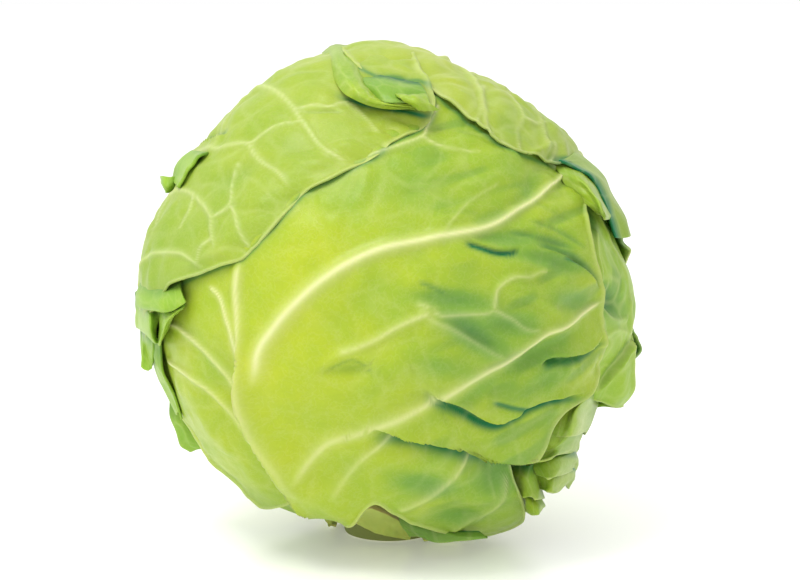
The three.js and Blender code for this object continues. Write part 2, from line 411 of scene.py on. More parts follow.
def add_uv(mesh, u, v):
    """UV in metres of blade, so that a pattern's scale is a real size."""
    corner = np.zeros(len(mesh.loops), int)
    mesh.loops.foreach_get("vertex_index", corner)
    layer = mesh.uv_layers.new(name="blade")
    layer.data.foreach_set("uv", np.stack([u[corner], v[corner]], -1).ravel().astype(np.float32))


def show(mesh, name, material, node, thickness=None):
    """Puts a finished mesh in the scene, in place of a CAD node."""
    mesh.shade_smooth()
    mesh.materials.append(material)
    obj = bpy.data.objects.new(name, mesh)
    bpy.context.scene.collection.objects.link(obj)
    if thickness:
        wall = obj.modifiers.new("thickness", "SOLIDIFY")
        wall.thickness = thickness * MM
        wall.offset = -1
    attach(obj, "root")
    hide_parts(node)


def finish_leaf(sheet, material, covers=()):
    """Makes the leaf's mesh; covers are the leaves that lie on it."""
    if covers:
        shade_beside(sheet, covers)
    move_vertices(sheet.mesh, sheet.points)
    # margin is a painted highlight along the leaf's free edge; the shade attribute is painted shade.
    add_attributes(sheet.mesh, vein=sheet.vein, green=0.5 + 0.5 * sheet.green, deep=sheet.deep,
                   margin=smoothstep(0.975, 1, sheet.share))
    add_uv(sheet.mesh, sheet.x * ARC * MM + 0.5, sheet.y * ARC * MM + 0.5)
    show(sheet.mesh, sheet.name + "_blade", material, sheet.name, LEAF_THICKNESS)


def with_tail(control, tail):
    """Adds the column in which a frill dives under the next leaf, tail degrees further round the head."""
    back_first = control[:, 0, 1].mean() > control[:, -1, 1].mean()
    end = control[:, 0 if back_first else -1] - [0, 0, HEAD_CENTRE_Z]
    turn = math.radians(math.copysign(tail, end[0, 0]))
    c, s = math.cos(turn), math.sin(turn)
    end = np.stack([end[:, 0] * c - end[:, 1] * s, end[:, 0] * s + end[:, 1] * c, end[:, 2]], -1)
    end = end.mean(0) + TAIL_TAPER * (end - end.mean(0))
    end *= (HEART_RADIUS + TAIL_LIFT) / np.linalg.norm(end, axis=1)[:, None]
    end = (end + [0, 0, HEAD_CENTRE_Z])[:, None]
    return np.concatenate([end, control] if back_first else [control, end], 1)


def read_surface(surface, along, down):
    """Points of a grid, read at shares from 0 to 1 along its rows and down its columns."""
    i, j = along * (surface.shape[1] - 1), down * (surface.shape[0] - 1)
    i0 = np.minimum(i.astype(int), surface.shape[1] - 2)
    j0 = np.minimum(j.astype(int), surface.shape[0] - 2)
    fi, fj = (i - i0)[:, None], (j - j0)[:, None]
    return ((surface[j0, i0] * (1 - fi) + surface[j0, i0 + 1] * fi) * (1 - fj)
            + (surface[j0 + 1, i0] * (1 - fi) + surface[j0 + 1, i0 + 1] * fi) * fj)


def frill(name, material, node, rows, across=40, along=56, *, seed, tuck=0.5, edge_highlight=(0, 1), tone=0.8,
          base=0.0, tail=0):
    """A small fold of a margin: a smooth sheet through rows of [x, y, z], in millimetres.

    The first row is tucked under its neighbour, and tuck is how much painted shade lies on it there.
    The pale of the last column and the last row is a painted highlight on free edges of the blade; tone
    tells how green the blade is and base how much painted shade lies over all of it.
    A tail adds one more column, that many degrees further back round the head, where the sheet narrows
    and dives under the next leaf.
    """
    control = np.array(rows, float)
    if tail:
        control = with_tail(control, tail)
    lines = np.stack([curve_through(row, 12) for row in control])
    surface = np.stack([curve_through(lines[:, i], 12) for i in range(lines.shape[1])], 1)
    mesh, places = grid_mesh(name, along, across)
    s, t = (places.T[:2] + 1) / 2
    down = 1 - t
    points = read_surface(surface, s, down)
    away = outward(points)
    uneven = 0.35 * noise(s * 22, t * 14, 5, seed + 300) + 0.12 * noise(s * 22, t * 14, 2, seed + 301)
    points += away * uneven[:, None]
    points[:, 2] = np.maximum(points[:, 2], FLOOR_CLEAR + LEAF_THICKNESS)
    move_vertices(mesh, points)
    facing = sum(polygon.normal.dot(Vector(away[polygon.vertices[0]])) for polygon in mesh.polygons)
    if facing < 0:
        mesh.flip_normals()
    wide = np.linalg.norm(np.diff(lines[len(lines) // 2], axis=0), axis=1).sum()
    tall = np.linalg.norm(np.diff(surface[:, surface.shape[1] // 2], axis=0), axis=1).sum()
    line = bell(net_distance(s * wide + seed * 3, down * tall, 9, seed + 310), 0.6)
    add_attributes(mesh, vein=0.14 * line, green=tone,
                   # Painted shade on the tucked first row and over the whole sheet; painted highlight on
                   # the free edges.
                   deep=np.maximum(base, tuck * (1 - smoothstep(0, 0.4, down))),
                   margin=np.maximum(edge_highlight[0] * smoothstep(0.97, 1, s), edge_highlight[1] * smoothstep(0.95, 1, down)))
    add_uv(mesh, (s * wide + 20 * seed) * MM, down * tall * MM)
    show(mesh, name, material, node, LEAF_THICKNESS)


# ---------------------------------------------------------------------------------------------
# Materials
# ---------------------------------------------------------------------------------------------

def colour(code):
    """An sRGB hex colour as linear RGBA."""
    parts = [int(code[i:i + 2], 16) / 255 for i in (1, 3, 5)]
    return tuple(p / 12.92 if p <= 0.04045 else ((p + 0.055) / 1.055) ** 2.4 for p in parts) + (1.0,)


def new_material(name):
    """A material, its node tree and its shader."""
    material = bpy.data.materials.new(name)
    material.use_nodes = True
    return material, material.node_tree, material.node_tree.nodes["Principled BSDF"]


def add(tree, kind, settings=None, **inputs):
    """Adds a node: settings are its properties, inputs its sockets' values or links, i5 being socket 5."""
    node = tree.nodes.new(kind)
    for key, value in (settings or {}).items():
        setattr(node, key, value)
    for key, value in inputs.items():
        socket = node.inputs[int(key[1:])] if key[0] == "i" and key[1:].isdigit() else node.inputs[key]
        if isinstance(value, bpy.types.NodeSocket):
            tree.links.new(value, socket)
        else:
            socket.default_value = value
    return node


def leaf_material(name, young, grown, pale, shaded, waxy):
    """Living cabbage leaf: a waxy, faintly translucent blade with a net of pale veins.

    young is the blade by the ribs, grown the blade by the margins, pale the veins and the painted
    highlight on free edges, and shaded the painted shade in creases, hollows and under other leaves.
    Wax gives it a soft, wide highlight.
    """
    material, tree, shader = new_material(name)
    place = add(tree, "ShaderNodeUVMap", {"uv_map": "blade"}).outputs[0]
    veins = add(tree, "ShaderNodeAttribute", {"attribute_name": "vein"}).outputs["Fac"]
    green = add(tree, "ShaderNodeAttribute", {"attribute_name": "green"}).outputs["Fac"]
    deep = add(tree, "ShaderNodeAttribute", {"attribute_name": "deep"}).outputs["Fac"]
    margin = add(tree, "ShaderNodeAttribute", {"attribute_name": "margin"}).outputs["Fac"]

    # The fine net: meshes 5 mm across, their lines bent by noise.
    bend = add(tree, "ShaderNodeTexNoise", None, Vector=place, Scale=260.0, Detail=2.0)
    bent = add(tree, "ShaderNodeMix", {"data_type": "VECTOR"}, i0=0.012, i4=place,
               i5=bend.outputs["Color"])
    lines = add(tree, "ShaderNodeTexVoronoi", {"feature": "DISTANCE_TO_EDGE"},
                Vector=bent.outputs[1], Scale=200.0)
    fine = add(tree, "ShaderNodeMapRange", {"interpolation_type": "SMOOTHSTEP"},
               i0=lines.outputs["Distance"], i1=0.0, i2=0.11, i3=1.0, i4=0.0)
    # The blade's own unevenness: patches 20 mm and 6 mm across.
    patches = add(tree, "ShaderNodeTexNoise", None, Vector=place, Scale=50.0, Detail=3.0)
    mottle = add(tree, "ShaderNodeTexNoise", None, Vector=place, Scale=900.0, Detail=2.0)
    tone = add(tree, "ShaderNodeMath", {"operation": "MULTIPLY_ADD"},
               i0=patches.outputs["Fac"], i1=0.9, i2=green)
    age = add(tree, "ShaderNodeMapRange", None, i0=tone.outputs[0], i1=0.45, i2=1.45)
    blade = add(tree, "ShaderNodeMix", {"data_type": "RGBA"}, i0=age.outputs[0],
                i6=colour(young), i7=colour(grown))
    fine_pale = add(tree, "ShaderNodeMath", {"operation": "MULTIPLY"}, i0=fine.outputs[0], i1=0.06)
    netted = add(tree, "ShaderNodeMix", {"data_type": "RGBA"}, i0=fine_pale.outputs[0],
                 i6=blade.outputs[2], i7=colour(pale))
    specks = add(tree, "ShaderNodeMapRange", None, i0=mottle.outputs["Fac"], i1=0.3, i2=0.7,
                 i3=0.97, i4=1.02)
    mottled = add(tree, "ShaderNodeMix", {"data_type": "RGBA", "blend_type": "MULTIPLY"}, i0=1.0,
                  i6=netted.outputs[2], i7=specks.outputs[0])
    # Painted shade: the blade mixed toward the shaded colour by the attribute read above.
    shade_painted_blade = add(tree, "ShaderNodeMix", {"data_type": "RGBA"}, i0=deep,
                  i6=mottled.outputs[2], i7=colour(shaded))
    ribbed = add(tree, "ShaderNodeMix", {"data_type": "RGBA"}, i0=veins,
                 i6=shade_painted_blade.outputs[2], i7=colour(pale))
    # Painted highlight on free edges: the margin attribute mixes the blade toward the pale colour.
    edge_highlight = add(tree, "ShaderNodeMath", {"operation": "MULTIPLY"}, i0=margin, i1=0.3)
    edge_highlighted = add(tree, "ShaderNodeMix", {"data_type": "RGBA"}, i0=edge_highlight.outputs[0],
                 i6=ribbed.outputs[2], i7=colour(pale))
    tree.links.new(edge_highlighted.outputs[2], shader.inputs["Base Color"])

    wax = add(tree, "ShaderNodeMapRange", None, i0=patches.outputs["Fac"], i1=0.3, i2=0.7,
              i3=waxy - 0.06, i4=waxy + 0.08)
    tree.links.new(wax.outputs[0], shader.inputs["Roughness"])
    grain = add(tree, "ShaderNodeTexNoise", None, Vector=place, Scale=1200.0, Detail=1.0)
    fine_bump = add(tree, "ShaderNodeBump", None, Strength=0.1, Distance=0.0003,
                    Height=fine.outputs[0])
    bump = add(tree, "ShaderNodeBump", None, Strength=0.06, Distance=0.0002,
               Height=grain.outputs["Fac"], Normal=fine_bump.outputs[0])
    tree.links.new(bump.outputs[0], shader.inputs["Normal"])
    shader.inputs["IOR"].default_value = 1.42
    shader.inputs["Specular IOR Level"].default_value = 0.28
    shader.inputs["Subsurface Weight"].default_value = 0.15
    shader.inputs["Subsurface Radius"].default_value = (0.6, 1.0, 0.2)
    shader.inputs["Subsurface Scale"].default_value = 0.003
    return material


def stump_material():
    """Cut cabbage stem: creamy, fibrous and matte on the cut face, a dull green rind round it, made darker
    as painted shade under the head.
    """
    material, tree, shader = new_material("cut_stem_fibre")
    place = add(tree, "ShaderNodeTexCoord").outputs["Object"]
    stretched = add(tree, "ShaderNodeMapping", None, Vector=place, Scale=(1.0, 1.0, 0.15))
    fibre = add(tree, "ShaderNodeTexNoise", None, Vector=stretched.outputs[0], Scale=900.0, Detail=4.0)
    dried = add(tree, "ShaderNodeTexNoise", None, Vector=place, Scale=120.0, Detail=4.0)
    base = add(tree, "ShaderNodeMix", {"data_type": "RGBA"}, i0=fibre.outputs["Fac"],
               i6=colour("#E6E6C4"), i7=colour("#C9CC98"))
    patch = add(tree, "ShaderNodeMapRange", None, i0=dried.outputs["Fac"], i1=0.55, i2=0.75,
                i3=0.0, i4=0.5)
    browned = add(tree, "ShaderNodeMix", {"data_type": "RGBA"}, i0=patch.outputs[0],
                  i6=base.outputs[2], i7=colour("#A08A58"))
    height = add(tree, "ShaderNodeSeparateXYZ", None, Vector=place).outputs["Z"]
    # The dull green rind, darkened as painted shade, starts at the cut face's edge, 0.05 to 0.4 mm up.
    rind_and_shade = add(tree, "ShaderNodeMapRange", None, i0=height, i1=0.00005, i2=0.0004)
    finished = add(tree, "ShaderNodeMix", {"data_type": "RGBA"}, i0=rind_and_shade.outputs[0],
                   i6=browned.outputs[2], i7=colour("#808A44"))
    tree.links.new(finished.outputs[2], shader.inputs["Base Color"])
    bump = add(tree, "ShaderNodeBump", None, Strength=0.5, Distance=0.0004, Height=fibre.outputs["Fac"])
    tree.links.new(bump.outputs[0], shader.inputs["Normal"])
    shader.inputs["Roughness"].default_value = 0.65
    return material


def stub_material():
    """Base of a trimmed leaf: pale, ribbed flesh, browned along the knife cut."""
    material, tree, shader = new_material("trimmed_leaf_base")
    place = add(tree, "ShaderNodeTexCoord").outputs["Object"]
    patches = add(tree, "ShaderNodeTexNoise", None, Vector=place, Scale=160.0, Detail=4.0)
    flesh = add(tree, "ShaderNodeMix", {"data_type": "RGBA"}, i0=patches.outputs["Fac"],
                i6=colour("#C8D468"), i7=colour("#A6B84A"))
    cut = add(tree, "ShaderNodeAttribute", {"attribute_name": "cut"}).outputs["Fac"]
    browned = add(tree, "ShaderNodeMix", {"data_type": "RGBA"}, i0=cut,
                  i6=flesh.outputs[2], i7=colour("#8F7440"))
    tree.links.new(browned.outputs[2], shader.inputs["Base Color"])
    bump = add(tree, "ShaderNodeBump", None, Strength=0.4, Distance=0.0005, Height=patches.outputs["Fac"])
    tree.links.new(bump.outputs[0], shader.inputs["Normal"])
    shader.inputs["Roughness"].default_value = 0.5
    shader.inputs["Subsurface Weight"].default_value = 0.2
    shader.inputs["Subsurface Scale"].default_value = 0.003
    return material


# Each blade: its young, grown and pale colours, the colour of its painted shade, and the roughness of its
# wax.
FRONT_BLADE = leaf_material("young_wrapper_leaf", "#B0BC26", "#80A434", "#D8DA9C", "#186E44", 0.36)
CROWN_BLADE = leaf_material("crown_wrapper_leaf", "#A6B43C", "#84A236", "#CAD294", "#187046", 0.38)
SIDE_BLADE = leaf_material("side_wrapper_leaf", "#A2BC34", "#80A834", "#C0CC7C", "#12603C", 0.4)
HEART_BLADE = leaf_material("heart_leaf", "#BECA5C", "#A4BC4C", "#D0D6A0", "#3C8C50", 0.35)
STUMP_FIBRE = stump_material()
STUB_FLESH = stub_material()


# ---------------------------------------------------------------------------------------------
# The wrapper leaves
# ---------------------------------------------------------------------------------------------

def front_leaf():
    """The big leaf over the front, its rib rising from the stem to the left."""
    sheet = Sheet(
        "front_leaf", (0, 0), 6.2, 12.8,
        [[0, 62], [5, 62.5], [10, 61.5], [15, 60], [20, 60.5], [25, 62.5], [28, 66], [31, 73], [42, 70],
         [65, 72], [90, 74], [115, 74], [140, 73], [160, 72], [176, 75], [186, 79], [192, 80], [198, 76],
         [205, 78], [214, 77], [224, 75], [232, 74], [238, 73], [242, 62], [245, 57], [248, 60],
         [251, 70], [254, 72], [257, 66], [259, 56], [262, 49], [266, 46], [271, 49], [276, 54],
         [283, 61], [289, 68], [295, 75], [300, 74], [303, 67], [306, 56], [309, 51], [313, 50],
         [318, 52], [323, 51], [329, 52], [334, 55], [339, 61], [344, 64], [352, 63]],
        [[40, -62, 20, 6], [52, -36, 16, 5], [-60, -34, 22, 3.2], [62, 27, 10, 2.4]], cells=214)
    rumple(sheet, 30, 0.8, 3)
    net(sheet, 15, 0.2, 0.5, 11, 0.1)

    # Ribs: the midrib with its fork, two long veins to the right and two to the left.
    vein(sheet, [[-9, -64], [-10, -54], [-14, -48], [-21, -44], [-28, -37], [-33, -30], [-36, -21],
                 [-38, -9], [-38, 1], [-39, 9], [-37, 18]], (11, 2.6), 3.6, (0, 0), 0.6)
    fold(sheet, [[-38, 2], [-37, -10], [-37, -20], [-34, -30], [-30, -38], [-26, -48], [-21, -55],
                 [-15, -60], [-10, -64]], 3.0, 2.6, 9, 1.0, 0.3)
    vein(sheet, [[-22, -47], [-28, -37], [-33, -29], [-36, -20], [-37, -9], [-37.5, 1], [-38, 9],
                 [-37, 16]], (3.4, 1.8), 0.7, (0.25, 0.85))
    vein(sheet, [[-36, -24], [-37.5, -16], [-39, -6], [-41, 0], [-44, 6], [-48, 9]], (3.8, 1.2), 1.5,
         (0.55, 0.9), 0.5)
    vein(sheet, [[-34, -30], [-40, -19], [-45, -13], [-52, -8], [-60, -5], [-68, -5]], (2.6, 1.4), 1.4,
         (0.4, 0.8), 0.5)
    vein(sheet, [[-29, -43], [-37, -32], [-45, -23], [-53, -18.5], [-63, -17.5], [-70, -18]],
         (2.4, 1.2), 1.4, (0.3, 0.8), 0.5)
    vein(sheet, [[-33, -15], [-32, -11], [-31, -6], [-28, -1], [-22, 6], [-14, 13], [-3, 19], [10, 22],
                 [25, 25], [35, 30], [41, 33], [47, 37], [51, 39], [55, 42], [59, 48]],
         (3.4, 1.2), 2.4, (0.9, 1.0), 1.0)
    vein(sheet, [[-24, -42], [-19, -34], [-14, -28], [-7, -25], [-1, -22], [11, -16], [22, -11], [31, -8],
                 [40, -3], [46, -2], [52, 0], [58, 1.5], [63, 3]], (3.2, 1.3), 2.0, (0.4, 1.0), 1.0)
    vein(sheet, [[-14, -44], [-7, -33], [-1, -28], [3, -25]], (2.6, 1.6), 1.3, (0.2, 0.5))
    vein(sheet, [[2, -48], [10, -44], [15, -40], [21, -33]], (2.6, 1.8), 1.4, (0.3, 0.5))
    vein(sheet, [[16, -60], [24, -54], [29, -48], [31, -42]], (2.2, 1.4), 1.4, (0.2, 0.4))
    # Branches between the two long veins, and near the top.
    vein(sheet, [[-12, -5], [-6, -3], [-2, -1], [3, 2], [10, 5]], (2.0, 1.4), 0.9, (0.4, 0.6), 0.4)
    vein(sheet, [[6, 7], [9, 6], [12, 4], [17, 4], [23, 4], [25, 5]], (1.6, 1.2), 0.8, (0.4, 0.35))
    vein(sheet, [[25, 4.5], [25, 7], [26, 10], [30, 12], [35, 12], [38, 13], [41, 13]], (1.3, 0.9), 0.7,
         (0.5, 0.3))
    vein(sheet, [[24, 5], [30, 2], [34, -1], [39, -2]], (1.4, 0.9), 0.7, (0.35, 0.25))
    vein(sheet, [[7, 6], [10, 3], [14, 1], [19, -2], [25, -6], [29, -8]], (2.0, 1.3), 1.2, (0.35, 0.2))
    ridge(sheet, [[26, 9], [29, 9], [35, 7], [41, 4], [47, 0]], 1.0, 1.6)
    vein(sheet, [[-6, 44], [0, 46], [9, 50], [11, 54], [15, 62]], (1.4, 1.1), 0.8, (0.4, 0.8))
    vein(sheet, [[9, 50], [16, 47], [26, 46]], (1.1, 0.8), 0.4, (0.6, 0.3))
    vein(sheet, [[12, 22], [20, 31], [30, 37]], (1.2, 0.8), 0.3, (0.3, 0.2))

    # Hollows and swellings of the blade between the ribs.
    for values in (
            (-8, 5, 13, 4.5, 35, -1.5, 0.2), (30, 22, 10, 1.8, -3, -1.2, 0.9),
            (43, 15.5, 11, 2.4, -14, -1.8, 1.2), (42, 20.5, 6, 1.4, -8, -1.0, 0.8),
            (15, 7.5, 9, 2.2, -8, -1.5, 1.3), (20, -0.5, 9, 3.2, -36, -2.4, 1.9),
            (29, 1, 8, 2.8, -12, -1.4, 1.2), (50, 4.5, 8, 2.6, -10, -1.2, 0.9),
            (36, -9, 7, 2.2, 15, -1.3, 1.0), (13, -8, 10, 3, -20, 0.8, 0.5),
            (39, -15, 5, 2, 10, -0.8, 0.7), (36, 8, 9, 1.6, -14, 1.2), (34, 15, 9, 1.8, -6, 0.9),
            (2, -9, 12, 4.5, 25, 1.4, 0.1), (20, -16, 10, 2.6, 25, -0.8, 0.6),
            (38, -15, 12, 4.0, 20, 1.2, 0.6), (42, -6, 9, 2.4, 15, -1.4, 0.8),
            (4, 35, 26, 6, 0, -1.0, 0.35), (2, 42, 14, 3, -8, -0.7, 0.2), (32, 42, 14, 5, 40, 1.0, 0.1),
            (40, 36, 8, 3, 50, -1.0, 0.6), (12, 64, 16, 5, 0, 0.8, -0.3),
            (10, -41, 10, 3.6, -20, -1.5, 1.1), (28, -42, 7, 4, -10, -2.4, 1.4),
            (19, -54, 8, 4.0, -10, -2.2, 1.1), (14, -32, 14, 3.5, -20, 1.6, 0.3),
            (40, -30, 10, 5, 40, 1.2, 0.4), (-48, -12, 12, 4, -35, -0.8, 0.2),
            (-50, -32, 16, 5, -40, 1.0), (-24, 40, 14, 5, 30, -0.8, 0.3)):
        dent(sheet, *values)

    groove(sheet, [[6, 12], [9, 11], [12, 9.5], [15, 8]], 0.6, 1.2, 0.45)
    groove(sheet, [[14, 3], [18, 0.5], [22, -2], [27, -5.5]], 0.7, 2.4, 0.5)
    groove(sheet, [[45, 16.5], [50, 15], [55, 12.5]], 0.8, 1.4, 0.75)

    # Creases and folds. The blade above the first hangs over a lower lobe.
    fold(sheet, [[-5, -23], [0, -24.5], [4, -25.5], [8, -26.5], [16, -29], [23, -33], [28, -35],
                 [34, -36], [42, -36]], 3.0, 6.5, 8, 1.4, 0.9)
    fold(sheet, [[7, -12], [12, -16], [18, -19], [23, -22.5], [27, -24], [31, -23], [35, -21],
                 [41, -20.5], [47, -21], [54, -22]], 1.6, 3.0, 3.6, 0.5, 1.0)
    groove(sheet, [[24, -18], [28, -19.5], [33, -21], [36, -21]], 1.2, 1.3, 0.9)
    fold(sheet, [[18, 22], [21, 20.8], [24, 19.8], [27, 19], [30, 18.8], [34, 19.2]],
         0.8, 1.6, 3.0, 0.3, 0.95)
    groove(sheet, [[28, 24], [36, 23], [46, 20], [52, 17]], 0.9, 1.6, 0.45)
    groove(sheet, [[36, 27], [43, 25], [50, 21], [55, 17]], 0.8, 1.5, 0.35)
    ridge(sheet, [[-20, -13], [-16, -9], [-12, -6], [-8, -5], [-4, -7], [-1, -10], [2, -14]], 1.1, 1.8)
    dent(sheet, -9, -8.6, 6, 1.4, 6, -1.1, 0.4)
    groove(sheet, [[-16, -10.5], [-12, -8], [-8.5, -6.6], [-5, -8], [-2, -11]], 0.5, 0.9, 0.3)
    fold(sheet, [[37, -11.5], [42, -9.8], [47, -10.2], [53, -10.6], [58, -9.4], [62, -7]],
         1.8, 3.0, 3.0, 0.3, 0.8)
    dent(sheet, 42.5, -10.5, 2.6, 1.3, -15, -2.0, 1.6)
    fold(sheet, [[62, 5], [59, 8.5], [55, 12], [49, 15.8], [43, 18.2], [37, 19.6]], 1.4, 1.8, 2.6, 0.1, 0.5)
    ridge(sheet, [[-50, -16], [-42, -22], [-34, -30]], -0.9, 1.6)
    for points in (
            [[1, 46], [6, 45], [11, 44], [18, 45]], [[0, 41], [5, 38], [11, 37], [16, 38]],
            [[2, 33], [8, 34.5], [15, 33]], [[16, 54], [24, 52], [32, 48], [38, 43]],
            [[38, 35], [43, 31], [48, 28], [54, 25]], [[10, 28], [18, 29], [26, 28]]):
        groove(sheet, points, 0.5, 1.5, 0.12)
    wrinkle(sheet, 16, 11, 3.2, 0.55, 211, smoothstep(-8, 22, sheet.x) * smoothstep(-58, -46, sheet.y))
    ruffle(sheet, 205, 250, 3.0, 0.8, 0.12, 23, 0.3)
    ruffle(sheet, 318, 358, 3.0, 0.8, 0.08, 27, 0.2)
    margin_lip(sheet, 0.9)
    yellow = bell(np.hypot((sheet.x + 26) / 30, (sheet.y + 4) / 46), 1)
    sheet.green += 0.3 - 0.9 * yellow
    foot = bell(np.mod(sheet.bearing, 360) - 253, 16) * smoothstep(40, 52, sheet.share * sheet.reach)
    sheet.ground = sheet.ground + 15 * foot
    # Painted shade, growing towards the foot of the leaf near the floor.
    sheet.deep = np.maximum(sheet.deep, 0.16 * smoothstep(-46, -62, sheet.y))
    sheet.points = sheet.place()
    return sheet


def front_frills():
    """The front leaf's folded margin: six lobes down the lower right, a rolled tongue above them."""
    for number, rows in enumerate((
            [[[62, -39, 60], [66, -39, 61], [69, -39, 62], [74, -13, 56], [74, -1, 53]],
             [[60, -43, 57], [64, -43, 58], [68, -42, 58], [73, -14, 52], [74, -2, 49]],
             [[57, -45, 52], [61, -45, 53], [65, -45, 55], [72, -15, 47], [73, -3, 45]],
             [[55, -45, 48], [59, -46, 48], [64, -45, 49], [71, -16, 43], [71, -4, 40]],
             [[54, -43, 45], [58, -45, 45], [63, -44, 45], [69, -16, 40], [69, -5, 37]]],
            [[[54, -44, 48], [59, -44, 47], [63, -41, 46], [68, -16, 41], [68, -6, 39]],
             [[52, -46, 44], [57, -45, 43], [61, -42, 43], [67, -17, 38], [67, -5, 35]],
             [[49, -46, 41], [54, -45, 40], [59, -41, 40], [66, -18, 35], [67, -6, 32]],
             [[47, -47, 37], [52, -49, 38], [57, -47, 39], [65, -18, 33], [65, -6, 30]]],
            [[[46, -40, 37], [52, -40, 37], [58, -35, 37], [65, -18, 34], [65, -8, 31]],
             [[47, -41, 34], [52, -44, 36], [59, -38, 36], [66, -19, 31], [66, -7, 28]],
             [[49, -44, 34], [53, -47, 34], [59, -41, 33], [65, -19, 29], [66, -8, 26]],
             [[50, -45, 32], [54, -50, 32], [58, -44, 31], [65, -20, 27], [65, -8, 24]]],
            [[[50, -38, 32], [54, -37, 31], [59, -32, 30], [65, -20, 28], [65, -10, 25]],
             [[50, -40, 30], [55, -41, 30], [59, -35, 29], [65, -20, 26], [65, -9, 23]],
             [[51, -39, 27], [55, -43, 28], [58, -38, 26], [64, -21, 24], [64, -9, 21]],
             [[52, -38, 25], [54, -45, 26], [58, -40, 24], [62, -21, 22], [63, -10, 19]]],
            [[[41, -40, 36], [43, -42, 35], [47, -45, 35], [50, -43, 35], [53, -33, 32]],
             [[42, -27, 27], [42, -40, 30], [46, -47, 32], [50, -45, 31], [53, -33, 28]],
             [[43, -25, 22], [43, -39, 25], [47, -48, 28], [51, -45, 27], [53, -32, 24]],
             [[44, -27, 20], [45, -43, 23], [48, -49, 25], [51, -48, 24], [54, -35, 21]]],
            [[[44, -30, 22], [46, -40, 25], [50, -41, 25], [53, -34, 23]],
             [[45, -30, 19], [47, -44, 23], [50, -45, 23], [53, -36, 21]],
             [[46, -31, 17], [48, -46, 20], [51, -48, 21], [54, -37, 19]],
             [[47, -34, 16], [49, -47, 18], [51, -49, 19], [53, -38, 18]]]), 1):
        frill(f"front_frill_{number}", FRONT_BLADE, "front_leaf", rows,
              seed=5 + min(number, 5), tuck=0.2 if number == 2 else 0.8, edge_highlight=(0, 0.7),
              tail=14 if number < 5 else 0)
    # A sheet all in painted shade, laid behind the lobes where there is only a shadowed hollow.
    frill("front_inner_fold_in_painted_shade", FRONT_BLADE, "front_leaf",
          [[[36, -44, 40], [42, -39, 38], [48, -24, 33], [54, -19, 31]],
           [[38, -32, 30], [43, -23, 28], [48, -20, 27], [53, -15, 25]],
           [[41, -29, 22], [45, -22, 20], [48, -18, 19], [52, -15, 18]],
           [[44, -27, 16], [46, -24, 15], [48, -22, 14], [51, -18, 13]]],
          24, 24, seed=12, edge_highlight=(0, 0), base=1.0)
    # Its tucked row, and more faintly all of it, lie in painted shade.
    frill("front_foot_fold", FRONT_BLADE, "front_leaf",
          [[[3, -36, 16], [8, -39, 14], [14, -39, 13], [23, -40, 11], [31, -41, 11]],
           [[4, -37, 12], [9, -40, 11], [15, -41, 11], [23, -43, 10], [33, -44, 10]],
           [[7, -37, 8], [11, -39, 8], [16, -42, 7], [24, -44, 8], [34, -44, 9]]],
          16, 40, seed=13, tuck=0.9, edge_highlight=(0, 0.4), base=0.4)
    frill("front_rolled_tongue", FRONT_BLADE, "front_leaf",
          [[[56, -24, 137], [62, -21, 136], [67, -15, 133], [71, 0, 129], [74, 9, 127]],
           [[58, -29, 134], [63, -30, 133], [69, -28, 130], [75, -1, 124], [76, 11, 121]],
           [[60, -31, 130], [66, -32, 129], [70, -34, 127], [77, -2, 119], [78, 10, 117]],
           [[64, -31, 126], [68, -35, 126], [72, -37, 124], [78, -3, 116], [79, 9, 114]],
           [[68, -35, 123], [70, -37, 123], [73, -39, 121], [79, -3, 115], [79, 9, 112]],
           [[71, -33, 120], [72, -36, 120], [74, -38, 119], [78, -3, 114], [79, 7, 112]]],
          seed=9, tuck=0.1, edge_highlight=(0, 0.6), tail=14)


